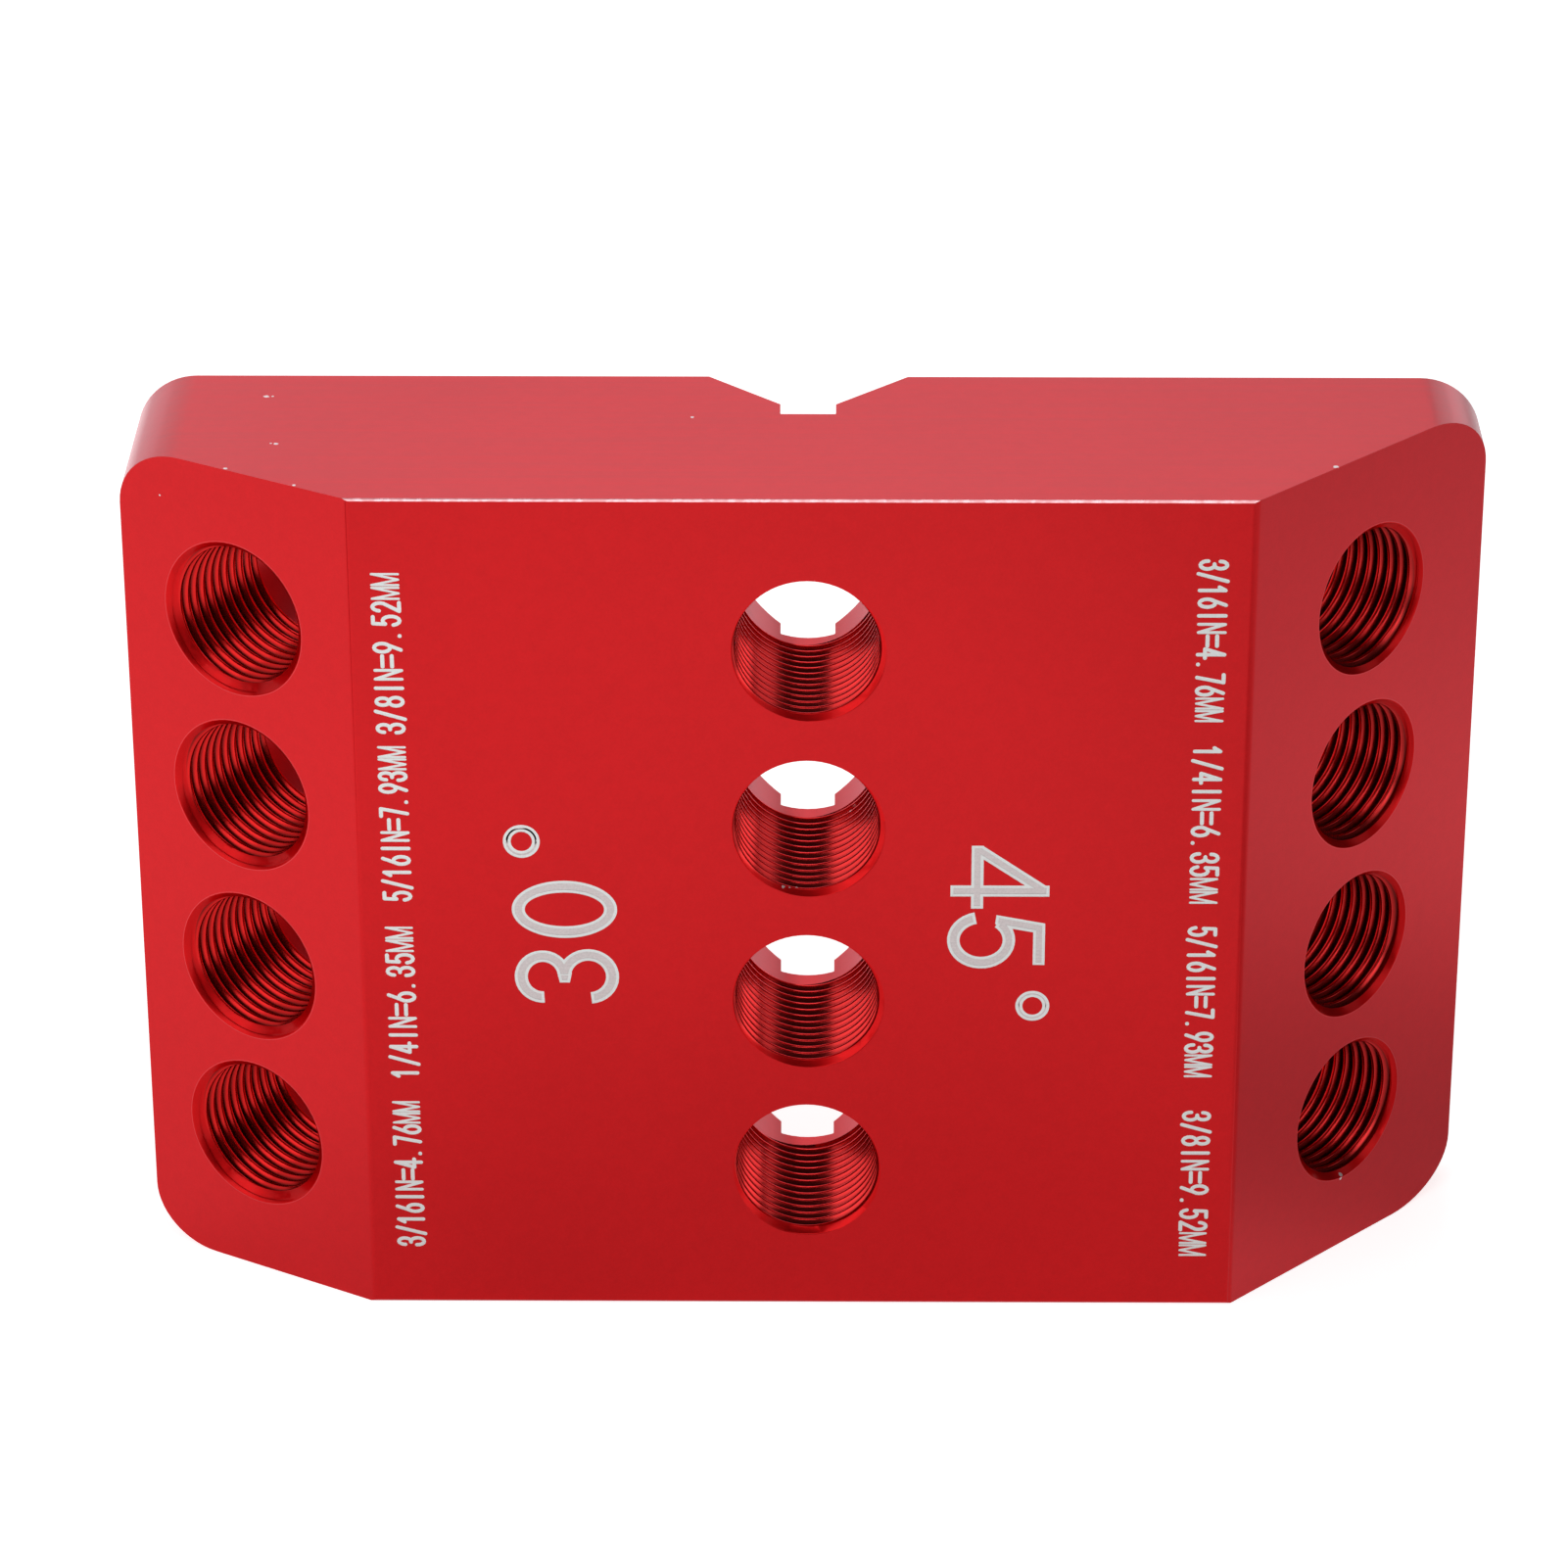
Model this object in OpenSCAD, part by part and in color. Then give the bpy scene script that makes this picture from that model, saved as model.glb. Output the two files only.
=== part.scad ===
/* [Block] */
// Width of the block across both sloped sides
block_w = 130; // [122:1:160]
// Height of the block, standing on its lower end
block_h = 86; // [80:1:120]
// Thickness from the marked front face to the grooved working face
block_t = 30; // [28:0.5:36]
// Radius of the four corners, seen from the front
corner_r = 6; // [2:0.5:9]

/* [Slopes] */
// Angle between the front face and the left slope, in degrees
left_angle = 30; // [25:1:35]
// Angle between the front face and the right slope, in degrees
right_angle = 45; // [40:1:50]
// Side wall left standing under the left slope
left_wall = 17; // [14:0.5:18]
// Side wall left standing under the right slope
right_wall = 6.5; // [4:0.5:8]

/* [Bushing holes] */
// Nominal diameter of the bushing thread
thread_d = 15; // [13:0.5:15]
// Pitch of the bushing thread
thread_pitch = 1.25; // [0.75:0.25:1.5]
// Diameter of the relief bored in from the working face
relief_d = 16.4; // [15.5:0.1:17]
// Depth of the relief, along each hole, from the working face
relief_depth = 13.3; // [11:0.1:14]
// Mouth diameter of the chamfer on the straight holes
centre_mouth_d = 14.7; // [14.5:0.1:16]
// Mouth diameter of the chamfer on the left slope
left_mouth_d = 15.5; // [14.5:0.1:16.5]
// Mouth diameter of the chamfer on the right slope
right_mouth_d = 15.1; // [14.5:0.1:16.5]

/* [Hole places] */
// Number of holes in each column
row_count = 4; // [1:1:4]
// Distance between the holes of a column
row_pitch = 18.5; // [18:0.5:20]
// Distance from the left side to the mouths on the left slope
left_inset = 10.9; // [10:0.1:13]
// Distance from the right side to the mouths on the right slope
right_inset = 11.5; // [10:0.1:13]

/* [Centring groove] */
// Width of the vee where it opens on the working face
vee_w = 19.4; // [17.5:0.1:22]
// Included angle of the vee, in degrees
vee_angle = 90; // [80:5:110]
// Width of the flat-bottomed slot below the vee
slot_w = 5.3; // [4.5:0.1:7]
// Depth of the slot's floor below the working face
slot_depth = 9.45; // [8.9:0.05:11]

/* [Hidden] */
$fn = 96;
anodised_red = [0.78, 0.12, 0.13];
// How far every cut runs past the surface that it leaves by
overrun = 1;
// The front face lies at front_y, the working face at back_y
front_y = -block_t / 2;
back_y = block_t / 2;
// Where the slopes leave the front face
left_edge_x = -block_w / 2 + (block_t - left_wall) / tan(left_angle);
right_edge_x = block_w / 2 - (block_t - right_wall) / tan(right_angle);
// The thread is a plain bore at its minor diameter
bore_r = (thread_d - 1.0825 * thread_pitch) / 2;
relief_r = relief_d / 2;
// Centres of the mouths of the three columns
left_x = -block_w / 2 + left_inset;
left_y = front_y + (left_edge_x - left_x) * tan(left_angle);
right_x = block_w / 2 - right_inset;
right_y = front_y + (right_x - right_edge_x) * tan(right_angle);
// Height of the lowest hole, with the column centred on the block
first_z = (block_h - (row_count - 1) * row_pitch) / 2;
// Where the vee's flanks meet the slot
vee_floor_y = back_y - (vee_w - slot_w) / 2 / tan(vee_angle / 2);
slot_floor_y = back_y - slot_depth;

// Outline seen from above, the same at every height
module block_outline() {
    polygon([
        [-block_w / 2, back_y],
        [-block_w / 2, back_y - left_wall],
        [left_edge_x, front_y],
        [right_edge_x, front_y],
        [block_w / 2, back_y - right_wall],
        [block_w / 2, back_y],
        [vee_w / 2, back_y],
        [slot_w / 2, vee_floor_y],
        [slot_w / 2, slot_floor_y],
        [-slot_w / 2, slot_floor_y],
        [-slot_w / 2, vee_floor_y],
        [-vee_w / 2, back_y],
    ]);
}

// What lies outside one rounded corner, about the centre of its radius
module corner_waste() {
    difference() {
        translate([0, front_y - overrun, 0])
            cube([corner_r + overrun, block_t + 2 * overrun, corner_r + overrun]);
        translate([0, front_y - 2 * overrun, 0])
            rotate([-90, 0, 0]) cylinder(h = block_t + 4 * overrun, r = corner_r);
    }
}

// All four corners, each turned to face its own way
module corner_wastes() {
    for (side = [0, 1], end = [0, 1])
        mirror([side, 0, 0])
            translate([block_w / 2 - corner_r, 0, end * (block_h - 2 * corner_r) + corner_r])
                mirror([0, 0, 1 - end]) corner_waste();
}

// One hole, bored along +Y from the centre of its mouth at the origin.
// through is its length on the axis, lean the angle at which it leaves the working face.
module bushing_hole(mouth_d, through, lean) {
    mouth_r = mouth_d / 2;
    rotate([-90, 0, 0]) {
        // Threaded bore
        translate([0, 0, -overrun]) cylinder(h = through + overrun, r = bore_r);
        // Mouth chamfer at 45 degrees
        translate([0, 0, -overrun])
            cylinder(h = mouth_r + overrun - bore_r, r1 = mouth_r + overrun, r2 = bore_r);
        // Relief behind the thread
        translate([0, 0, through - relief_depth])
            cylinder(h = relief_depth + relief_r * tan(lean) + overrun, r = relief_r);
    }
}

// A column of holes. turn is the direction of its axes about +Z, away from +Y.
module hole_column(mouth_x, mouth_y, turn, mouth_d) {
    lean = abs(turn);
    for (row = [0 : row_count - 1])
        translate([mouth_x, mouth_y, first_z + row * row_pitch])
            rotate([0, 0, turn])
                bushing_hole(mouth_d, (back_y - mouth_y) / cos(lean), lean);
}

module guide_block() {
    color(anodised_red)
        difference() {
            linear_extrude(height = block_h) block_outline();
            corner_wastes();
            hole_column(left_x, left_y, -left_angle, left_mouth_d);
            hole_column(0, front_y, 0, centre_mouth_d);
            hole_column(right_x, right_y, right_angle, right_mouth_d);
        }
}

guide_block();
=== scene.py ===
"""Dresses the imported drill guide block: threads, edges, gauge marks and red anodised metal."""
import math

import bpy
import mathutils
import numpy as np
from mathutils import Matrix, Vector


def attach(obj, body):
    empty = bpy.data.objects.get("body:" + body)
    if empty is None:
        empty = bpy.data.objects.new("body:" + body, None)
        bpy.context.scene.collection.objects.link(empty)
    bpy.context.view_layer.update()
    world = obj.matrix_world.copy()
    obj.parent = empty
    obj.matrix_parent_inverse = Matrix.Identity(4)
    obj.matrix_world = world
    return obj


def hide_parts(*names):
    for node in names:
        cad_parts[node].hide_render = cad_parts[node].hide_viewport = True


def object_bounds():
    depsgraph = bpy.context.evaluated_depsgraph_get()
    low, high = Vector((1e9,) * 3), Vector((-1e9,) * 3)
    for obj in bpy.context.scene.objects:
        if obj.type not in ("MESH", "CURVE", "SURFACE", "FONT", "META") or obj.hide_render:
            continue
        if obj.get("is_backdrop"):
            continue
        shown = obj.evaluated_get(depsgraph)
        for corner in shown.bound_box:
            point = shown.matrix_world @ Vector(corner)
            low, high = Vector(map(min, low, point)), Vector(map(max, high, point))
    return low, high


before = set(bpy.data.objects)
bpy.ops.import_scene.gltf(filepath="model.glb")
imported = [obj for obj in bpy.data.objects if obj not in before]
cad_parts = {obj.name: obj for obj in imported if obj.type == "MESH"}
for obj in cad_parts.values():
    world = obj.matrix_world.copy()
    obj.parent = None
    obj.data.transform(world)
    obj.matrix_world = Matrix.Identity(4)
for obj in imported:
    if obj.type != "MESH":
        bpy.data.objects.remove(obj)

cad_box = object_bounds()

# Sizes of the block, in millimetres, as in the part's source
metres_per_mm = 0.001
block_w, block_h, block_t, corner_r = 130.0, 86.0, 30.0, 6.0
left_angle, right_angle = math.radians(30), math.radians(45)
left_wall, right_wall = 17.0, 6.5
left_inset, right_inset = 10.9, 11.5
first_z, row_pitch, row_count = 15.25, 18.5, 4
vee_w, slot_w, slot_depth = 19.4, 5.3, 9.45
thread_d, thread_pitch = 15.0, 1.25
relief_r, relief_depth = 8.2, 13.3

front_y, back_y = -block_t / 2, block_t / 2
left_edge_x = -block_w / 2 + (block_t - left_wall) / math.tan(left_angle)
right_edge_x = block_w / 2 - (block_t - right_wall) / math.tan(right_angle)
left_x, right_x = -block_w / 2 + left_inset, block_w / 2 - right_inset
left_y = front_y + (left_edge_x - left_x) * math.tan(left_angle)
right_y = front_y + (right_x - right_edge_x) * math.tan(right_angle)
crest_r = (thread_d - 1.0825 * thread_pitch) / 2
root_r = thread_d / 2

# Finishing of the edges, in millimetres
front_chamfer = 0.22
back_chamfer = 0.12
slope_rounding = 1.2
small_rounding = 0.15
burnish = 0.07
spare = 2.0

# Columns of holes: mouth x and y, turn of the axis about +Z, mouth diameter. The straight mouths
# are a little narrower than in the part's source, and steeper, as the photograph shows them.
columns = {
    "left": (left_x, left_y, -left_angle, 15.5),
    "centre": (0.0, front_y, 0.0, 14.2),
    "right": (right_x, right_y, right_angle, 15.1),
}
# Depth at which each thread starts, from the lowest hole of a column to the highest
thread_starts = {
    "left": (0.62, 0.65, 0.65, 0.57),
    "centre": (0.37, 0.51, 0.52, 0.50),
    "right": (1.26, 1.29, 1.21, 1.15),
}
# Depth of a mouth for each millimetre that it narrows, and how pale the bores' red is made in
#  each column, which paints a difference of light, as all bores share one dye
mouth_steepness = {"left": 1.0, "centre": 2.5, "right": 1.0}
bore_paleness_by_light = {"left": 0.016, "centre": 0.034, "right": 0.034}
# The lip that softens a mouth's rim, how far its cone runs on inside the crest, and how far the
# thread's tool reaches at least in front of the face and into the relief
lip_depth, lip_width, run_on = 0.03, 0.04, 0.5
thread_lead, thread_overrun = 1.2, 1.0
round_steps = 64

# Gauge marks: depths of the etching, half the width of the face that they keep to, width and
# height of the small strokes, bright border of the large ones
outline_depth, fill_depth, mark_reach, marks_half_w = 0.03, 0.06, 0.2, 40.6
small_stroke, small_height, border = 0.38, 2.86, 0.28
thin_letters = {"M": 0.24, "N": 0.31}
# Curves that close are drawn as two halves that overlap: first angle, last angle and steps
halves = ((-108, 108, 36), (72, 288, 36))

# Colours of the finish, some of them painted light
dye_dark, dye_light = (0.69, 0.0035, 0.007, 1), (0.76, 0.0045, 0.0085, 1)
# The pale pink of the edges is partly wear and partly painted highlight
wear_and_highlight_pink, bare_metal, burr_metal = (0.98, 0.58, 0.62, 1), (0.9, 0.82, 0.82, 1), (0.9, 0.7, 0.7, 1)
# The first colour below is painted shade for the thread roots
painted_root_shade, mouth_red = (0.09, 0.008, 0.006, 1), (0.76, 0.007, 0.009, 1)
black, white = (0, 0, 0, 1), (1, 1, 1, 1)

# Small marks: first and last edge of each line along z, and where its baseline runs in x
left_lines = {
    "3/16IN=4.76MM": (6.30, 22.65),
    "1/4IN=6.35MM": (25.15, 41.69),
    "5/16IN=7.93MM": (44.32, 60.81),
    "3/8IN=9.52MM": (61.96, 78.63),
}
right_lines = {
    "3/16IN=4.76MM": (80.15, 63.38),
    "1/4IN=6.35MM": (60.96, 44.24),
    "5/16IN=7.93MM": (41.92, 25.40),
    "3/8IN=9.52MM": (21.79, 5.41),
}
left_base_x, left_base_tilt = -37.20, -0.0066
right_base_x, right_base_tilt = 36.35, -0.0024

# Nicks outside and specks of burr in the bores: place on the part and how far each reaches
nicks = [
    ((-51.9, 9.6, 86.0), 0.3), ((-51.3, 9.65, 86.0), 0.16), ((-50.0, -2.0, 86.0), 0.25),
    ((-50.5, -1.9, 86.0), 0.14), ((-11.0, 4.7, 86.0), 0.22), ((-54.2, -7.9, 86.0), 0.24),
    ((-47.5, -11.8, 86.0), 0.2), ((49.2, -6.9, 86.0), 0.3), ((53.1, -3.4, 7.6), 0.2),
    ((-60.9, -4.37, 81.75), 0.1),
]
bore_specks = [
    ((3.95, -1.25, 46.59), 0.22), ((4.23, -0.39, 46.8), 0.26), ((4.52, 0.42, 47.04), 0.22),
    ((-2.22, -14.33, 45.72), 0.2), ((-1.66, -14.21, 45.55), 0.16), ((-1.01, -14.16, 45.42), 0.16),
    ((1.48, 0.05, 45.51), 0.14), ((53.15, -3.2, 7.95), 0.28),
]

# Camera, fitted to the photograph: place in metres, turns in radians, and the distance of the
# image in its own pixels, for a picture photo_px wide
camera_place = (0.001971, -0.514952, 0.303159)
camera_yaw, camera_pitch, camera_roll = 0.008257792, 0.457676241, -0.001017368
image_distance_px, photo_px, sensor_mm = 6044.069, 1601, 36

# Light: the floor's glow for the camera and in reflections, the room in reflections, and half
# the floor's width in metres
floor_glow, floor_sheen, room_light = 0.78, 0.68, 0.03
floor_half_w = 3.0

# Softboxes: azimuth (0 is the camera's side, 90 is +X) and elevation, the angles they fill
# across and upright, all in degrees, and radiance. The distance is in metres.
lamp_distance = 1.2
softboxes = {
    "front_left": (-44, 28, 32, 56, 1.25),
    "left": (-73, 28, 26, 56, 0.66),
    "front_right": (44, 35, 32, 26, 0.75),
    "right_low": (52, 9, 28, 20, 1.35),
    "right_high": (97, 40, 30, 22, 0.45),
    "overhead": (0, 66, 60, 18, 1.8),
    "back": (180, 45, 30, 22, 2.35),
    "back_left": (-152, 45, 25, 22, 0.9),
    "back_low": (168, 17, 45, 34, 0.5),
    "back_right_low": (150, 15, 30, 26, 0.47),
    "back_left_low": (-135, 17, 67, 34, 0.85),
}


def new_piece(name, points, faces):
    """A mesh from points in millimetres and lists of corners. Its signed volume, the sum over
    fans of triangles of a . (b x c) / 6, tells whether every face has to be turned round."""
    points = np.asarray(points, float)
    volume = 0.0
    for corners in faces:
        corners = np.atleast_2d(corners)
        first = points[corners[:, 0]]
        for step in range(1, corners.shape[1] - 1):
            cross = np.cross(points[corners[:, step]], points[corners[:, step + 1]])
            volume += np.einsum("ij,ij->", first, cross)
    turn = 1 if volume > 0 else -1
    loops = [row[::turn] for corners in faces for row in np.atleast_2d(corners).tolist()]
    mesh = bpy.data.meshes.new(name)
    mesh.from_pydata(points.tolist(), [], loops)
    mesh.update()
    piece = bpy.data.objects.new(name, mesh)
    bpy.context.scene.collection.objects.link(piece)
    return piece


def grid_quads(rows, columns, wrap):
    """Corners of the quads of a grid of points numbered row by row. With wrap the last column
    joins the first."""
    row, column = np.meshgrid(np.arange(rows - 1), np.arange(columns - (not wrap)), indexing="ij")
    beside = (column + 1) % columns
    corners = [row * columns + column, row * columns + beside]
    corners += [(row + 1) * columns + beside, (row + 1) * columns + column]
    return np.stack(corners, -1).reshape(-1, 4)


def stacked(name, sections):
    """A closed solid through sections, each a ring of (x, y, z) points with the same count:
    quads run from ring to ring, and the first and last rings are capped flat."""
    sections = np.asarray(sections, float)
    rows, count = sections.shape[:2]
    ends = [np.arange(count)[::-1], (rows - 1) * count + np.arange(count)]
    return new_piece(name, sections.reshape(-1, 3), [grid_quads(rows, count, True), *ends])


def arc(cx, cy, rx, ry, start, end, steps):
    """Points of an ellipse, (cx + rx cos a, cy + ry sin a), for a from start to end degrees."""
    a = np.radians(np.linspace(start, end, steps + 1))
    return np.stack([cx + rx * np.cos(a), cy + ry * np.sin(a)], -1)


def rounded(corners, radii, steps=4):
    """A polygon with each corner replaced by an arc. The arc touches both sides at a distance
    radius * tan(half the turning angle) from the corner, and its points are a + t (b - a)
    blended as a quadratic curve through the corner, which differs little from a circle."""
    corners = np.asarray(corners, float)
    before = np.roll(corners, 1, 0) - corners
    after = np.roll(corners, -1, 0) - corners
    before /= np.linalg.norm(before, axis=1, keepdims=True)
    after /= np.linalg.norm(after, axis=1, keepdims=True)
    turning = np.pi - np.arccos(np.clip((before * after).sum(1), -1, 1))
    reach = (np.asarray(radii, float) * np.tan(turning / 2))[:, None]
    t = np.linspace(0, 1, steps + 1)[None, :, None]
    start, end = (corners + before * reach)[:, None], (corners + after * reach)[:, None]
    middle = corners[:, None]
    curve = (1 - t) ** 2 * start + 2 * t * (1 - t) * middle + t**2 * end
    return curve.reshape(-1, 2)


def block_plan():
    """The block's outline from above, with the groove in its back, run out past both sides."""
    far_x = block_w / 2 + spare
    left_far_y = front_y + (far_x + left_edge_x) * math.tan(left_angle)
    right_far_y = front_y + (far_x - right_edge_x) * math.tan(right_angle)
    vee_floor_y = back_y - (vee_w - slot_w) / 2
    slot_floor_y = back_y - slot_depth
    corners = [
        (-far_x, back_y), (-far_x, left_far_y), (left_edge_x, front_y),
        (right_edge_x, front_y), (far_x, right_far_y), (far_x, back_y),
        (vee_w / 2, back_y), (slot_w / 2, vee_floor_y), (slot_w / 2, slot_floor_y),
        (-slot_w / 2, slot_floor_y), (-slot_w / 2, vee_floor_y), (-vee_w / 2, back_y),
    ]
    radii = [small_rounding] * len(corners)
    radii[2] = radii[3] = slope_rounding
    return rounded(corners, radii)


def plate_section(y, inset):
    """A rounded rectangle in the plane y, block_w by block_h, drawn in by inset all round."""
    half_w, r = block_w / 2 - inset, corner_r - inset
    x_in, z_low, z_high = half_w - r, corner_r, block_h - corner_r
    steps = 14
    ring = [arc(x_in, z_high, r, r, 0, 90, steps), arc(-x_in, z_high, r, r, 90, 180, steps)]
    ring += [arc(-x_in, z_low, r, r, 180, 270, steps), arc(x_in, z_low, r, r, 270, 360, steps)]
    ring = np.concatenate(ring)
    return np.stack([ring[:, 0], np.full(len(ring), y), ring[:, 1]], -1)


def turned(points, mouth, turn):
    """Moves points from a hole's own space (x across, y along the axis, z up) to its mouth:
    they turn about +Z by turn and then move by the mouth's place."""
    c, s = math.cos(turn), math.sin(turn)
    spin = np.array([[c, -s, 0], [s, c, 0], [0, 0, 1]])
    return points @ spin.T + np.asarray(mouth, float)


def revolved(name, profile, mouth, turn):
    """A solid of revolution about a hole's axis. The profile gives (depth, radius) from pole to
    pole, and the surface is (radius cos a, depth, radius sin a) for a round the circle."""
    depth, radius = np.asarray(profile[1:-1], float).T
    a = np.arange(round_steps) * 2 * np.pi / round_steps
    x = radius[:, None] * np.cos(a)
    z = radius[:, None] * np.sin(a)
    y = np.broadcast_to(depth[:, None], x.shape)
    rings = np.stack([x, y, z], -1).reshape(-1, 3)
    poles = np.array([[0, profile[0][0], 0], [0, profile[-1][0], 0]], float)
    points = turned(np.concatenate([rings, poles]), mouth, turn)
    last = len(rings) - round_steps
    here = np.arange(round_steps)
    beside = (here + 1) % round_steps
    first_pole, last_pole = len(rings) + 0 * here, len(rings) + 1 + 0 * here
    faces = [
        grid_quads(len(depth), round_steps, True),
        np.stack([beside, here, first_pole], -1),
        np.stack([last + here, last + beside, last_pole], -1),
    ]
    return new_piece(name, points, faces)


def screw(name, start, length, mouth, turn):
    """A threaded rod about a hole's axis. Its surface is the profile (share of a pitch, radius)
    carried along a right-hand helix: at angle -2 pi i / round_steps the profile's point j lies
    at depth start + pitch (i / round_steps + share j) and at its own radius. The last point of
    a turn is the first of the next, and both ends are closed by a fan to the axis."""
    depth = root_r - crest_r
    half_crest, half_root, half_floor, ease = 0.125, 0.0625, 0.03, 0.04
    rise = depth * ease * 0.8 / (0.5 - half_crest - half_root)
    share = np.array([-half_crest + ease, half_crest - ease, half_crest + ease])
    share = np.append(share, [0.5 - ease - half_root, 0.5 - half_floor, 0.5 + half_floor])
    share = np.append(share, [0.5 + ease + half_root, 1 - half_crest - ease])
    radius = np.array([crest_r, crest_r, crest_r + rise, root_r - rise])
    radius = np.append(radius, [root_r, root_r, root_r - rise, crest_r + rise])
    across = len(share)
    steps = int(round(length / thread_pitch * round_steps))
    i = np.arange(steps + round_steps + 1)
    angle = -2 * np.pi * i / round_steps
    y = start + thread_pitch * (i[:, None] / round_steps + share)
    x = radius * np.cos(angle)[:, None]
    z = radius * np.sin(angle)[:, None]
    grid = np.stack([x, y, z], -1)
    edge = grid[:, 0]
    inner = grid[: steps + 1, 1:].reshape(-1, 3)
    centre_y = start + thread_pitch * (np.array([0, steps / round_steps]) + 0.5)
    centres = np.stack([0 * centre_y, centre_y, 0 * centre_y], -1)
    points = turned(np.concatenate([edge, inner, centres]), mouth, turn)
    number = np.empty((steps + 1, across + 1), int)
    number[:, 0] = i[: steps + 1]
    number[:, 1:across] = len(edge) + np.arange(len(inner)).reshape(steps + 1, across - 1)
    number[:, across] = i[round_steps : round_steps + steps + 1]
    quads = [number[:-1, :-1], number[1:, :-1], number[1:, 1:], number[:-1, 1:]]
    near = np.concatenate([i[: round_steps + 1], number[0, across - 1 : 0 : -1]])
    far = np.concatenate([i[steps:], number[steps, across - 1 : 0 : -1]])
    fans = []
    for ring, centre, way in ((near, len(points) - 2, -1), (far, len(points) - 1, 1)):
        pair = np.stack([ring, np.roll(ring, -1)][::way], -1)
        fans.append(np.column_stack([pair, np.full(len(ring), centre)]))
    return new_piece(name, points, [np.stack(quads, -1).reshape(-1, 4), *fans])


def flare(mouth_r, steepness):
    """The profile of a mouth's tool, as (depth, radius): a wide skirt in front of the face, a lip
    that softens the rim, and a cone that runs on inside the thread's crest."""
    end = lip_depth + (mouth_r - lip_width - crest_r + run_on) * steepness
    skirt = [(-spare, 0), (-spare, mouth_r + 0.05 + spare * 3)]
    return [*skirt, (lip_depth, mouth_r - lip_width), (end, crest_r - run_on), (end + 0.1, 0)]


def hole_tools():
    """The tools that cut every hole: a flared mouth, the thread and the relief."""
    tools = []
    for column, (x, y, turn, mouth_d) in columns.items():
        through = (back_y - y) / math.cos(turn)
        mouth = flare(mouth_d / 2, mouth_steepness[column])
        relief_start = through - relief_depth
        for row in range(row_count):
            place = (x, y, first_z + row * row_pitch)
            hole = f"{column}_{row + 1}"
            tools.append(revolved("mouth_" + hole, mouth, place, turn))
            start = thread_starts[column][row]
            start -= thread_pitch * math.ceil((start + thread_lead) / thread_pitch)
            reach = relief_start + thread_overrun - start
            length = math.ceil(reach / thread_pitch) * thread_pitch
            tools.append(screw("thread_" + hole, start, length, place, turn))
            end = through + relief_r * abs(math.tan(turn)) + spare
            bore = [(relief_start, 0), (relief_start, relief_r), (end, relief_r), (end, 0)]
            tools.append(revolved("relief_" + hole, bore, place, turn))
    return tools


def combine(piece, tools, operation):
    """Cuts piece by the tools, or keeps what it shares with them, and takes the tools away."""
    group = bpy.data.collections.new("tools")
    bpy.context.scene.collection.children.link(group)
    for tool in tools:
        group.objects.link(tool)
    step = piece.modifiers.new("cut", "BOOLEAN")
    step.operation = operation
    step.solver = "MANIFOLD"
    step.operand_type = "COLLECTION"
    step.collection = group
    settle(piece)
    for tool in tools:
        mesh = tool.data
        bpy.data.objects.remove(tool)
        bpy.data.meshes.remove(mesh)
    bpy.data.collections.remove(group)


def settle(piece):
    """Makes the result of the piece's modifiers its own mesh."""
    graph = bpy.context.evaluated_depsgraph_get()
    mesh = bpy.data.meshes.new_from_object(piece.evaluated_get(graph))
    old = piece.data
    piece.modifiers.clear()
    piece.data = mesh
    bpy.data.meshes.remove(old)


def glyph_strokes():
    """Centrelines of the small marks in a box one wide and one high: straight runs from point
    to point, and arcs of ellipses."""
    seven = [[(0, 1), (1, 1)], [(1, 1), (0.35, 0)]]
    six = [[(0.76, 1), (0.08, 0.44)], arc(0.5, 0.3, 0.5, 0.3, 0, 180, 8)]
    six += [arc(0.5, 0.3, 0.5, 0.3, 180, 360, 8)]
    nine = [1 - np.asarray(stroke, float) for stroke in six]
    three = [arc(0.507, 0.763, 0.461, 0.237, 184, -90, 12)]
    three += [arc(0.497, 0.263, 0.503, 0.263, 90, -186, 12), [(0.37, 0.525), (0.6, 0.525)]]
    five = [[(0.95, 1), (0.14, 1)], [(0.14, 1), (0.08, 0.55)]]
    five += [arc(0.48, 0.32, 0.52, 0.32, 136, -165, 12)]
    two = [arc(0.5, 0.72, 0.46, 0.28, 172, -28, 10), [(0.9, 0.58), (0, 0)], [(0, 0), (1, 0)]]
    eight = [arc(0.5, 0.76, 0.42, 0.24, start, start + 180, 8) for start in (0, 180)]
    eight += [arc(0.5, 0.26, 0.5, 0.26, start, start + 180, 8) for start in (0, 180)]
    return {
        "1": (0.62, [[(0.5, 0), (0.5, 0.97)], [(0.5, 0.97), (0.08, 0.74)]]),
        "2": (0.62, two),
        "3": (0.62, three),
        "4": (0.72, [[(0.62, 0), (0.62, 1)], [(0.62, 1), (0, 0.27)], [(0, 0.27), (1, 0.27)]]),
        "5": (0.62, five),
        "6": (0.62, six),
        "7": (0.62, seven),
        "8": (0.62, eight),
        "9": (0.62, nine),
        "/": (0.62, [[(0, -0.06), (0.95, 1.04)]]),
        "I": (0.62, [[(0.5, 0), (0.5, 1)]]),
        "N": (0.65, [[(0, 0), (0, 1)], [(0, 1), (1, 0)], [(1, 0), (1, 1)]]),
        "=": (0.80, [[(0, 0.71), (1, 0.71)], [(0, 0.35), (1, 0.35)]]),
        ".": (0.62, [[(0.26, 0.02), (0.30, 0.02)]]),
        "M": (0.8, [[(0, 0), (0, 1)], [(0, 1), (0.5, 0)], [(0.5, 0), (1, 1)], [(1, 1), (1, 0)]]),
    }


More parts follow.
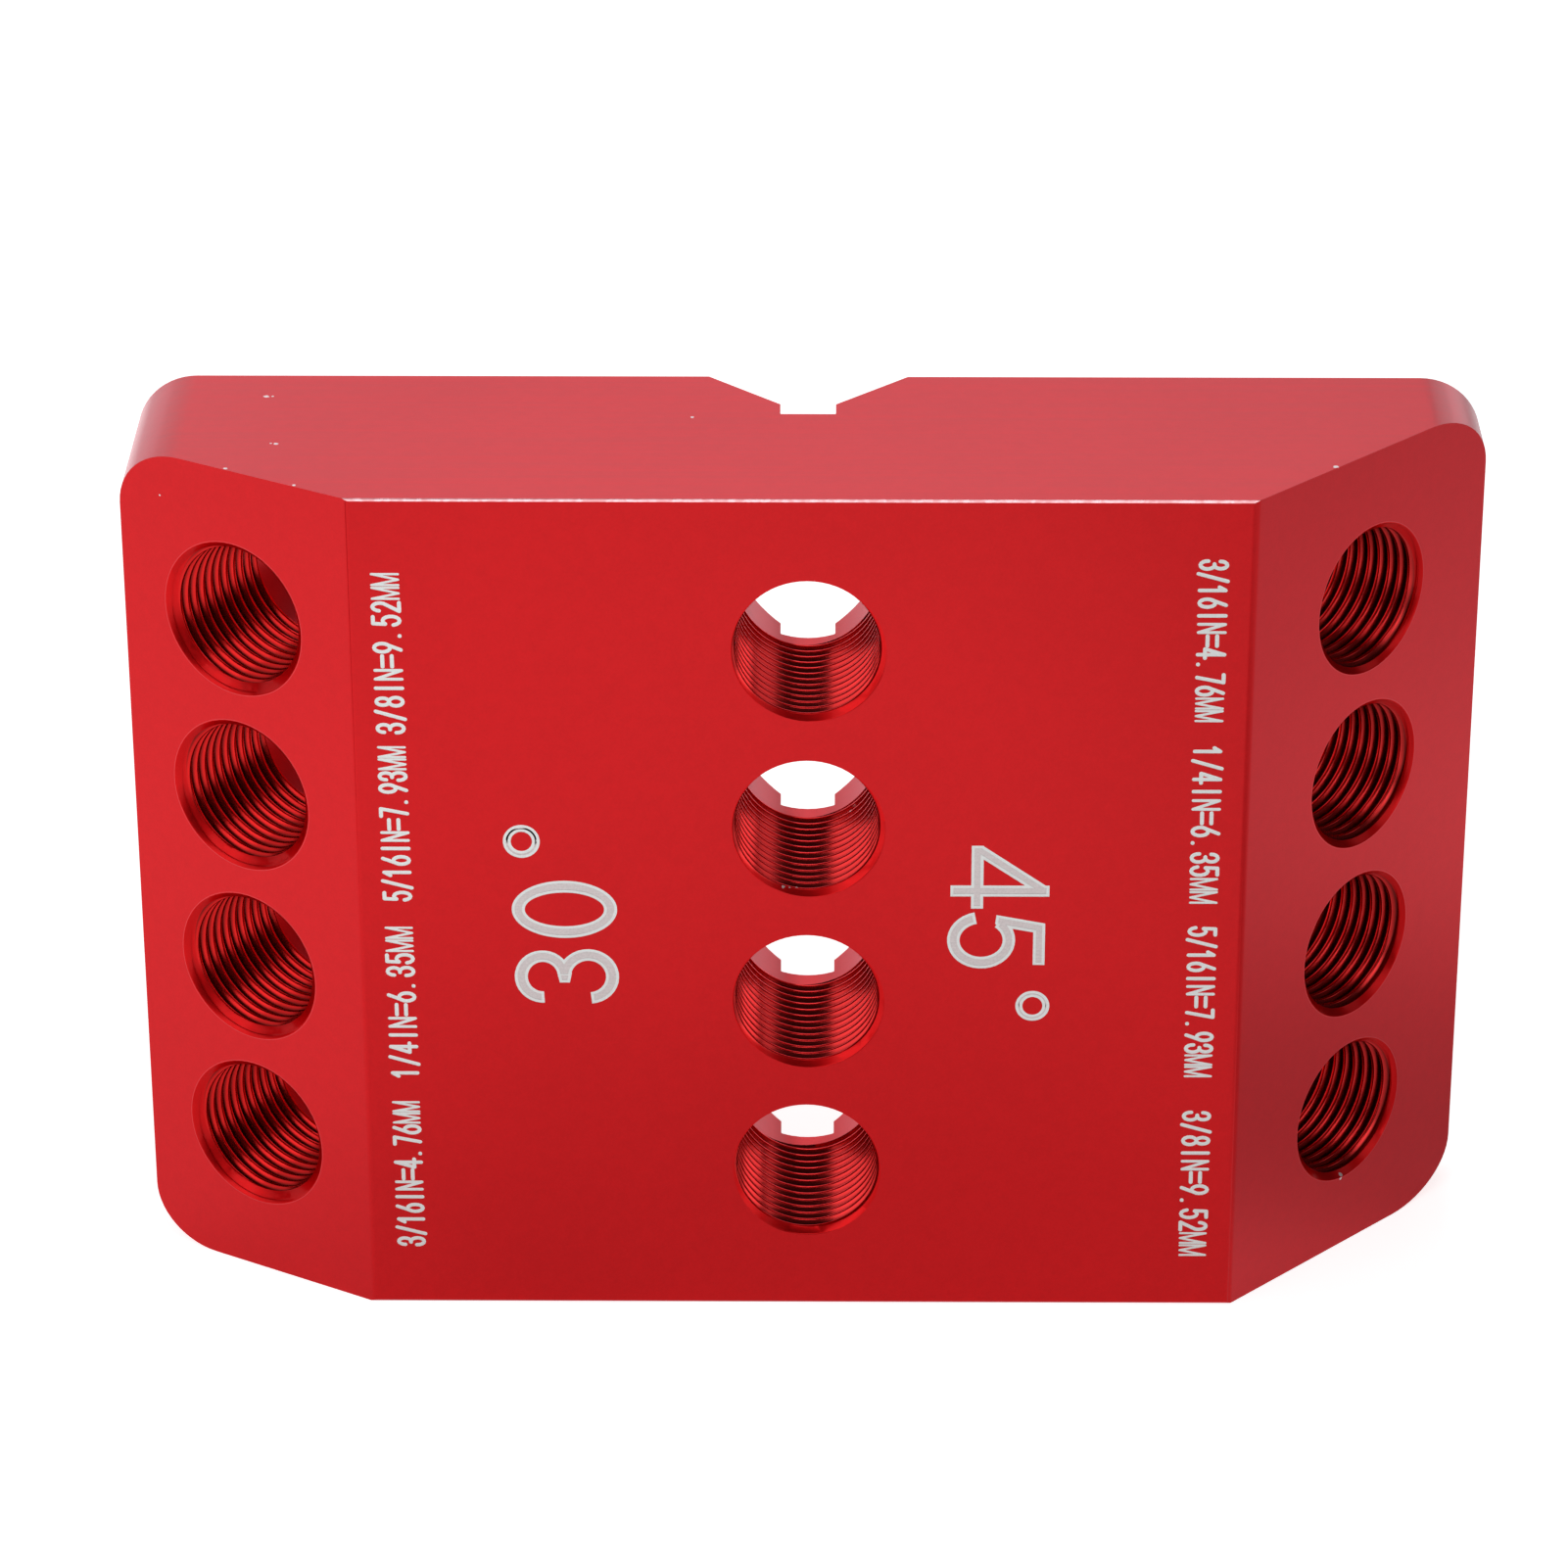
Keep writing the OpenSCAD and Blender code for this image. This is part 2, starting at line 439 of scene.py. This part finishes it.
def ribbon(line, width):
    """The outline of a round-ended stroke: points half a width to either side of a centreline,
    joined by half circles. The side is the centreline's direction turned by 90 degrees."""
    line = np.asarray(line, float)
    ahead = np.gradient(line, axis=0)
    ahead /= np.linalg.norm(ahead, axis=1, keepdims=True)
    side = np.stack([-ahead[:, 1], ahead[:, 0]], -1) * width / 2
    turns = np.radians(np.linspace(0, 180, 7))[1:-1, None]
    first = line[0] + side[0] * -np.cos(turns) - ahead[0] * np.sin(turns) * width / 2
    last = line[-1] + side[-1] * np.cos(turns) + ahead[-1] * np.sin(turns) * width / 2
    return np.concatenate([line + side, last, (line - side)[::-1], first])


def text_strokes(text, start_z, end_z, base_x, tilt, up):
    """Outlines, as (x, z), of one line of small marks. The line runs from start_z to end_z, its
    letters stand towards up (-1 or 1) in x, and base_x is the baseline's x at z 0."""
    way = np.sign(end_z - start_z)
    glyphs = glyph_strokes()
    first_width, last_width = glyphs[text[0]][0], glyphs[text[-1]][0]
    if text[0] == "1":
        first_width *= 0.84
    cells = len(text) - 1 + (first_width + last_width) / 2
    pitch = (abs(end_z - start_z) - small_stroke) / cells
    first_centre = small_stroke / 2 + first_width / 2 * pitch
    height = small_height - small_stroke
    outlines = []
    for place, letter in enumerate(text):
        share, strokes = glyphs[letter]
        width = thin_letters.get(letter, small_stroke)
        for stroke in strokes:
            u, v = np.asarray(stroke, float).T
            along = first_centre + pitch * (place + share * (u - 0.5))
            z = start_z + way * along
            x = base_x + tilt * z + up * (small_stroke / 2 + height * v)
            outlines.append(ribbon(np.stack([x, z], -1), width))
    return outlines


def band(u, v, outer, inner, start, end, steps):
    """The outline of a curved stroke between two ellipses about (u, v), with flat ends."""
    far, near = arc(u, v, *outer, start, end, steps), arc(u, v, *inner, start, end, steps)
    return np.concatenate([far, near[::-1]])


def drawn_in(outline, amount):
    """An outline with every side moved inwards by amount. Each corner moves by
    amount (a + b) / (1 + a . b), where a and b are the inward normals of its two sides. The
    sign of the outline's area, half the sum of u v' - v u', says which side is inward."""
    outline = np.asarray(outline, float)
    ahead = np.roll(outline, -1, 0) - outline
    ahead /= np.linalg.norm(ahead, axis=1, keepdims=True)
    inward = np.stack([-ahead[:, 1], ahead[:, 0]], -1)
    (u, v), (next_u, next_v) = outline.T, np.roll(outline, -1, 0).T
    inward *= np.sign((u * next_v - v * next_u).sum())
    before = np.roll(inward, 1, 0)
    return outline + amount * (before + inward) / (1 + (before * inward).sum(1, keepdims=True))


def large_thirty():
    """Outlines of the large 30 and its degree ring, as (along, up) from its lower left."""
    marks = [
        band(2.866, 7.232, (2.84, 2.70), (1.59, 1.45), 183, -90, 26),
        band(2.897, 2.866, (2.96, 2.93), (1.71, 1.68), 90, -174, 26),
        [(2.23, 4.66), (3.3, 4.45), (3.3, 5.86), (2.23, 5.62)],
    ]
    for start, end, steps in halves:
        marks.append(band(10.12, 5.05, (3.07, 5.02), (1.80, 3.78), start, end, steps))
        marks.append(band(17.36, 9.01, (1.75, 1.75), (1.01, 1.01), start, end, steps))
    return marks


def large_forty_five():
    """Outlines of the large 45 and its degree ring, as (along, up) from its lower left."""
    diagonal = [(0, 1.965), (0, 3.03), (4.47, 9.4), (5.14, 9.4), (4.77, 7.86), (0.656, 1.965)]
    marks = [
        [(4.22, 0), (5.41, 0), (5.41, 9.4), (4.22, 9.4)],
        [(0, 1.965), (6.71, 1.965), (6.71, 3.12), (0, 3.12)],
        diagonal,
        [(8.275, 7.94), (12.75, 7.94), (12.75, 9.07), (8.275, 9.07)],
        [(8.275, 9.07), (9.453, 9.07), (8.588, 4.49), (8.275, 4.29), (7.38, 4.42)],
        band(10.09, 2.98, (3.06, 3.25), (1.79, 2.06), 142, -168, 30),
    ]
    for start, end, steps in halves:
        marks.append(band(17.18, 7.99, (1.63, 1.63), (0.96, 0.96), start, end, steps))
    return marks


def etching(name, outline, depth):
    """The tool for one stroke: its outline on the front face, carried in to a depth."""
    x, z = np.asarray(outline, float).T
    levels = [np.stack([x, np.full(len(x), front_y + y), z], -1) for y in (-mark_reach, depth)]
    return stacked(name, levels)


def mark_tools():
    """The tools that etch every gauge mark, and the deeper ones for the large marks' middles."""
    small, outlines, middles = [], [], []
    for text, (start, end) in left_lines.items():
        small += text_strokes(text, start, end, left_base_x, left_base_tilt, -1)
    for text, (start, end) in right_lines.items():
        small += text_strokes(text, start, end, right_base_x, right_base_tilt, 1)
    placed = [(large_thirty(), (-18.02, 33.40), -1), (large_forty_five(), (13.64, 50.43), 1)]
    for marks, (base_x, base_z), up in placed:
        for mark in marks:
            inner = drawn_in(mark, border)
            for group, shape in ((outlines, mark), (middles, inner)):
                along, height = np.asarray(shape, float).T
                group.append(np.stack([base_x + up * height, base_z - up * along], -1))
    tools = [etching("mark", outline, outline_depth) for outline in small + outlines]
    return tools, [etching("middle", outline, fill_depth) for outline in middles]


def block():
    """The block: its plan carried upwards, kept inside the rounded plate, its sharp edges
    broken, and then every hole cut and every mark etched."""
    plan = block_plan()
    heights = (-spare, block_h + spare)
    ring = [np.column_stack([plan, np.full(len(plan), z)]) for z in heights]
    made = stacked("drilled_block", ring)
    depths = [(front_y, front_chamfer), (front_y + front_chamfer, 0.0)]
    depths += [(back_y - back_chamfer, 0.0), (back_y, back_chamfer)]
    combine(made, [stacked("plate", [plate_section(y, inset) for y, inset in depths])], "INTERSECT")
    soften = made.modifiers.new("soften", "BEVEL")
    soften.width = burnish
    soften.segments = 2
    soften.limit_method = "ANGLE"
    soften.angle_limit = math.radians(50)
    settle(made)
    combine(made, hole_tools(), "DIFFERENCE")
    for tools in mark_tools():
        combine(made, tools, "DIFFERENCE")
    return made


def hole_space(points, column):
    """Places in a column's own space: across, along and up from the nearest hole's mouth."""
    mouth_x, mouth_y, turn, _ = columns[column]
    c, s = math.cos(turn), math.sin(turn)
    x, y, z = np.asarray(points, float).T
    row = np.clip(np.round((z - first_z) / row_pitch), 0, row_count - 1)
    across = (x - mouth_x) * c + (y - mouth_y) * s
    depth = (y - mouth_y) * c - (x - mouth_x) * s
    return across, depth, z - first_z - row * row_pitch


def label_faces(piece):
    """Gives every face its material by where it lies: 0 outside, 1 to 3 the bores of the three
    columns, 4 and 5 the etching. Faces of broken edges also get the attribute edge, which sets how
    pale they are painted: partly wear, and on the front's top chamfer mostly a painted highlight."""
    mesh = piece.data
    centre, normal = np.empty((2, 3 * len(mesh.polygons)))
    mesh.polygons.foreach_get("center", centre)
    mesh.polygons.foreach_get("normal", normal)
    centre, normal = centre.reshape(-1, 3), normal.reshape(-1, 3)
    number = np.zeros(len(centre), np.int32)
    near_hole = np.zeros(len(centre), bool)
    for place, (column, (_, mouth_y, turn, _)) in enumerate(columns.items(), 1):
        across, depth, up = hole_space(centre, column)
        close = np.hypot(across, up) < relief_r + 0.1
        inside = close & (depth > 0.004)
        thread_end = (back_y - mouth_y) / math.cos(turn) - relief_depth
        number[inside & (depth < thread_end + 0.02)] = place
        near_hole |= close
    x, sunk, z = centre[:, 0], centre[:, 1] - front_y, centre[:, 2]
    marked = (np.abs(x) < marks_half_w) & (z > 1) & (z < block_h - 1)
    marked &= (sunk > 0.002) & (sunk < fill_depth + 0.02) & ~near_hole
    number[marked] = np.where(sunk[marked] < (outline_depth + fill_depth) / 2, 4, 5)
    slopes = [(-math.sin(left_angle), -math.cos(left_angle), 0)]
    slopes += [(math.sin(right_angle), -math.cos(right_angle), 0)]
    half = math.sqrt(0.5)
    flats = [*np.eye(3), *-np.eye(3), *slopes, (half, half, 0), (-half, half, 0)]
    flat = (normal @ np.array(flats).T).max(1) > 0.9995
    fillet = (np.abs(normal[:, 1]) < 0.02) & (np.abs(x) > block_w / 2 - corner_r - 0.1)
    edge = ~(flat | fillet | near_hole | marked) & (np.abs(normal[:, 2]) > 0.05)
    # edge is 1 on the top half of the front chamfer, where it mostly paints a highlight line, and
    # 0.25 on the other broken edges, paler as wear and painted highlight alike
    shine = np.where((sunk < front_chamfer) & (z > block_h / 2), 1.0, 0.25) * edge
    mesh.attributes.new("edge", "FLOAT", "FACE").data.foreach_set("value", shine)
    mesh.polygons.foreach_set("material_index", number)


def add_node(tree, kind, inputs, output=0, **settings):
    """A new node with its settings and its sockets set or linked, and one of its outputs."""
    node = tree.nodes.new("ShaderNode" + kind)
    for name, value in settings.items():
        setattr(node, name, value)
    for name, value in inputs.items():
        put(node.inputs[name], value)
    return Wire(tree, node.outputs[output])


def put(socket, value):
    """Links a wire to a socket, or sets a plain value."""
    if isinstance(value, Wire):
        value.tree.links.new(value.socket, socket)
    else:
        socket.default_value = value


class Wire:
    """A socket in a material. Arithmetic with it, or with a number and it, adds a Math node."""

    def __init__(self, tree, socket):
        self.tree, self.socket = tree, socket

    def add(self, kind, inputs, output=0, **settings):
        return add_node(self.tree, kind, inputs, output, **settings)

    def output(self, name):
        """Another output of the same node."""
        return Wire(self.tree, self.socket.node.outputs[name])

    def maths(self, operation, *values):
        return self.add("Math", dict(enumerate((self, *values))), operation=operation)

    def __add__(self, other):
        return self.maths("ADD", other)

    def __sub__(self, other):
        return self.maths("SUBTRACT", other)

    def __rsub__(self, other):
        return self * -1.0 + other

    def __mul__(self, other):
        return self.maths("MULTIPLY", other)

    __radd__, __rmul__ = __add__, __mul__

    def vector(self, operation, other, output=0):
        return self.add("VectorMath", {0: self, 1: other}, output, operation=operation)

    def parts(self):
        split = self.add("SeparateXYZ", {0: self}, "X")
        return split, split.output("Y"), split.output("Z")

    def noise(self, scale, detail=2.0):
        return self.add("TexNoise", {"Vector": self, "Scale": scale, "Detail": detail})

    def ease(self, low, high):
        """0 up to low, 1 from high on, and a smooth step between."""
        inputs = {"Value": self, "From Min": low, "From Max": high}
        return self.add("MapRange", inputs, interpolation_type="SMOOTHSTEP")

    def blend(self, first, second):
        """A colour between two, by this as the share of the second."""
        inputs = {0: self, 6: first, 7: second}
        return self.add("Mix", inputs, 2, data_type="RGBA")

    def bump(self, height):
        """A normal from this as a height from 0 to 1, for a full height in metres."""
        return self.add("Bump", {"Height": self, "Distance": height})


def material(name):
    """A new material: itself, its surface's sockets, and the place on the part in millimetres."""
    made = bpy.data.materials.new(name)
    made.use_nodes = True
    surface = made.node_tree.nodes["Principled BSDF"].inputs
    place = add_node(made.node_tree, "TexCoord", {}, "Object")
    return made, surface, place.vector("MULTIPLY", [1 / metres_per_mm] * 3)


def near(place, spot, reach):
    """1 close to a spot, fading to 0 at reach. Noise makes the outline ragged."""
    shift = place.noise(3.0).output("Color").vector("SUBTRACT", (0.5, 0.5, 0.5))
    ragged = place.vector("ADD", shift.vector("MULTIPLY", (reach,) * 3))
    return ragged.vector("DISTANCE", spot, "Value").ease(reach, reach * 0.7)


def any_near(place, spots):
    total = near(place, *spots[0])
    for spot, reach in spots[1:]:
        total = total + near(place, spot, reach)
    return total.maths("MINIMUM", 1.0)


def hole_wires(place, column):
    """Depth, radius and angle of a place, seen from the nearest hole of a column."""
    mouth_x, mouth_y, turn, _ = columns[column]
    c, s = math.cos(turn), math.sin(turn)
    x, y, z = place.parts()
    across = (x - mouth_x) * c + (y - mouth_y) * s
    depth = (y - mouth_y) * c - (x - mouth_x) * s
    row = ((z - first_z) * (1 / row_pitch)).maths("ROUND")
    row = row.maths("MAXIMUM", 0.0).maths("MINIMUM", row_count - 1.0)
    up = z - first_z - row * row_pitch
    radius = (across * across + up * up).maths("SQRT")
    return depth, radius, up.maths("ARCTAN2", across)


def rim_highlight_line(place, column):
    """1 on a thin ring just outside the mouths of a column, 0 elsewhere: where a highlight line is
    painted.
    """
    depth, radius, _ = hole_wires(place, column)
    off = (radius - (columns[column][3] / 2 + 0.04)).maths("ABSOLUTE")
    return off.ease(0.08, 0.03) * depth.maths("ABSOLUTE").ease(0.3, 0.1)


def anodised(surface, coat_roughness):
    """The constant part of the red metal: dyed oxide over aluminium, with a thin sealed skin."""
    put(surface["Metallic"], 1.0)
    put(surface["Coat Weight"], 1.0)
    put(surface["Coat Roughness"], coat_roughness)
    put(surface["Coat IOR"], 1.27)
    put(surface["Specular Tint"], (1, 0.85, 1, 1))


def red_outside():
    """Blasted and anodised: fine grain, faint clouding, milling lines on the ends, paler edges that
    are partly worn and partly a painted highlight, a painted highlight line round the left and
    right mouths, and a few nicks down to bright metal."""
    made, surface, place = material("red_outside")
    anodised(surface, 0.25)
    grain, mottle, cloud = place.noise(4.5), place.noise(0.9), place.noise(0.05)
    facing = add_node(made.node_tree, "NewGeometry", {}, "Normal").parts()[2]
    end = facing.maths("ABSOLUTE").ease(0.9, 0.95)
    coarse = place.vector("MULTIPLY", (0.012, 1.3, 0.012)).noise(1.0)
    fine = place.vector("MULTIPLY", (0.03, 4.5, 0.03)).noise(1.0)
    milled = (coarse * 0.6 + fine * 0.4) * end
    edge = add_node(made.node_tree, "Attribute", {}, "Fac", attribute_name="edge")
    # Pale pink on the broken edges: partly wear, partly painted highlight
    wear_and_highlight = edge * (0.7 + place.noise(1.6).ease(0.35, 0.65) * 0.3)
    # A thin painted highlight round the left and right mouths
    rim_highlights = (rim_highlight_line(place, "left") + rim_highlight_line(place, "right")) * 0.12
    wear_and_highlight = (wear_and_highlight + rim_highlights).maths("MINIMUM", 1.0)
    nicked = any_near(place, nicks)
    tone = grain * 0.4 + mottle * 0.3 + cloud * 0.3 + (milled - end * 0.5) * 0.8
    colour = tone.ease(0.3, 0.7).blend(dye_dark, dye_light)
    put(surface["Base Color"], nicked.blend(wear_and_highlight.blend(colour, wear_and_highlight_pink), bare_metal))
    put(surface["Roughness"], 0.38 + grain * 0.06 + milled * 0.1 - wear_and_highlight * 0.14)
    put(surface["Normal"], (grain * 0.5 + milled * 0.5 - nicked * 3.0).bump(4e-6))
    return made


def red_bore(column):
    """The cut and anodised bore of a column: smooth threads with rings along the cut, painted shade
    that darkens the threads towards their roots, a mouth with marks that run to the axis, and
    specks of burr. How pale its red is differs by column, as painted light."""
    made, surface, place = material("red_bore_" + column)
    anodised(surface, 0.15)
    put(surface["Coat Weight"], 0.4)
    put(surface["Specular Tint"], (1, 0.35, 0.4, 1))
    depth, radius, angle = hole_wires(place, column)
    mouth_depth = (columns[column][3] / 2 - crest_r) * mouth_steepness[column]
    at_mouth = depth.ease(mouth_depth + 0.08, mouth_depth - 0.02)
    rings = depth.add("CombineXYZ", {0: depth * 9.0, 1: angle * 1.5, 2: radius * 2.0}).noise(1.0)
    rays = depth.add("CombineXYZ", {0: angle * 14.0, 1: radius * 2.5, 2: 0.0}).noise(1.0)
    marks = rings * (1.0 - at_mouth) + rays * at_mouth
    specks = any_near(place, bore_specks)
    # pale is this column's paleness of red, a painted difference of light between the columns
    pale = bore_paleness_by_light[column]
    colour = marks.ease(0.3, 0.7).blend((0.68, pale * 0.8, pale * 0.8, 1), (0.82, pale, pale, 1))
    # Painted shade: the threads darken towards their roots, away from the mouth
    root_shade = radius.ease(crest_r + 0.12, crest_r + 0.45) * (1.0 - at_mouth)
    # dark is the share of painted root shade in this column
    smooth, dark = (0.13, 0.7) if column == "centre" else (0.17, 0.85)
    colour = at_mouth.blend((root_shade * dark).blend(colour, painted_root_shade), mouth_red)
    put(surface["Base Color"], specks.blend(colour, burr_metal))
    put(surface["Roughness"], smooth + marks * 0.1 + at_mouth * 0.18)
    put(surface["Normal"], marks.bump(3e-6))
    return made


def etched(name, dark, light):
    """Pale oxide where the dye is burnt away: a fine frosted grain between two greys."""
    made, surface, place = material(name)
    grain = place.noise(6.0)
    tone = grain * 0.6 + place.vector("MULTIPLY", (0.3, 1.0, 9.0)).noise(1.0) * 0.4
    put(surface["Base Color"], tone.ease(0.3, 0.7).blend(dark, light))
    put(surface["Metallic"], 1.0)
    put(surface["Roughness"], 0.4 + grain * 0.15)
    put(surface["Normal"], tone.bump(4e-6))
    return made


def floor_piece():
    """A wide white floor. Part of its white is a glow for the camera and for reflections only,
    so that it looks white and still carries the block's shadow. In reflections the glow is
    strongest a little way off the block, dips at both sides and at a patch to the front right,
    and fades with the distance."""
    sheet = bpy.data.meshes.new("floor")
    corners = np.array([(-1, -1, 0), (1, -1, 0), (1, 1, 0), (-1, 1, 0)]) * floor_half_w
    sheet.from_pydata(corners.tolist(), [], [(0, 1, 2, 3)])
    floor = bpy.data.objects.new("floor", sheet)
    bpy.context.scene.collection.objects.link(floor)
    made, surface, place = material("floor_white")
    away = place.vector("LENGTH", (0, 0, 0), "Value")
    dark_patch = place.vector("DISTANCE", (120, -100, 0), "Value").ease(65, 25)
    x, y, _ = place.parts()
    sheen = away.ease(900, 350) * (0.45 + away.ease(25, 150) * 0.55) * (1.0 - dark_patch * 0.5)
    sides = 1.0 - x.ease(45, 78) * 0.88 + x.ease(95, 140) * 0.5 - x.ease(150, 230) * 0.3
    sheen = sheen * (sides - x.ease(-40, -110) * 0.12) * (1.0 + y.ease(0, 60) * 0.35)
    camera_ray = add_node(made.node_tree, "LightPath", {}, "Is Camera Ray")
    seen = camera_ray + camera_ray.output("Is Transmission Ray")
    glow = seen * floor_glow + camera_ray.output("Is Glossy Ray") * sheen * floor_sheen
    put(surface["Base Color"], (0.85, 0.85, 0.85, 1))
    put(surface["Roughness"], 0.8)
    put(surface["Specular IOR Level"], 0.0)
    put(surface["Emission Color"], glow.blend(black, white))
    put(surface["Emission Strength"], 1.0)
    sheet.materials.append(made)
    floor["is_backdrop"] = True


def camera():
    """The photograph's camera. It looks along +Y, turned by its yaw, down by its pitch and round
    by its roll."""
    flat = mathutils.Matrix.Rotation(camera_yaw, 3, "Z")
    tip = mathutils.Matrix.Rotation(math.pi / 2 - camera_pitch, 3, "X")
    spin = mathutils.Matrix.Rotation(camera_roll, 3, "Z")
    view = bpy.data.cameras.new("camera")
    view.sensor_width = sensor_mm
    view.lens = sensor_mm * image_distance_px / photo_px
    view.clip_start = 0.05
    held = bpy.data.objects.new("camera", view)
    turn = (flat @ tip @ spin).to_4x4()
    held.matrix_world = mathutils.Matrix.Translation(camera_place) @ turn
    bpy.context.scene.collection.objects.link(held)
    bpy.context.scene.camera = held


def softbox(name, azimuth, elevation, across, upright, radiance):
    """A rectangular lamp that faces the origin from lamp_distance. Its size is the one that
    fills the two angles, 2 distance tan(angle / 2), and its power is pi times area times
    radiance."""
    turn, rise = math.radians(azimuth), math.radians(elevation)
    way = (math.sin(turn) * math.cos(rise), -math.cos(turn) * math.cos(rise), math.sin(rise))
    place = mathutils.Vector(way) * lamp_distance
    width = 2 * lamp_distance * math.cos(rise) * math.tan(math.radians(across / 2))
    height = 2 * lamp_distance * math.tan(math.radians(upright / 2))
    light = bpy.data.lights.new(name, "AREA")
    light.shape = "RECTANGLE"
    light.size, light.size_y = width, height
    light.energy = math.pi * width * height * radiance
    held = bpy.data.objects.new(name, light)
    held.location = place
    held.rotation_euler = (-place).to_track_quat("-Z", "Y").to_euler()
    bpy.context.scene.collection.objects.link(held)


def studio():
    """The room round the stage: white for the camera, nearly dark in reflections."""
    world = bpy.data.worlds.new("studio")
    bpy.context.scene.world = world
    world.use_nodes = True
    shade = world.node_tree.nodes["Background"].inputs
    camera_ray = add_node(world.node_tree, "LightPath", {}, "Is Camera Ray")
    seen = camera_ray + camera_ray.output("Is Transmission Ray")
    put(shade["Color"], seen.blend((room_light,) * 3 + (1,), white))
    put(shade["Strength"], 1.0)


body = block()
body.data.materials.clear()
for made in (
    red_outside(),
    *(red_bore(column) for column in columns),
    etched("etched_border", (0.88, 0.93, 0.92, 1), (0.98, 1.0, 0.99, 1)),
    etched("etched_middle", (0.74, 0.68, 0.68, 1), (0.86, 0.80, 0.80, 1)),
):
    body.data.materials.append(made)
label_faces(body)
body.data.transform(mathutils.Matrix.Scale(metres_per_mm, 4))
body.data.shade_smooth()
body.data.set_sharp_from_angle(angle=math.radians(35))
weigh = body.modifiers.new("weigh", "WEIGHTED_NORMAL")
weigh.keep_sharp = True
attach(body, "root")
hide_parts("guide_block")

floor_piece()
camera()
for name, aim in softboxes.items():
    softbox(name, *aim)
studio()
bpy.context.scene.view_settings.view_transform = "Standard"

boxes = {"cad": cad_box, "visual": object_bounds()}
boxes = {name: np.asarray(box, float).tolist() for name, box in boxes.items()}
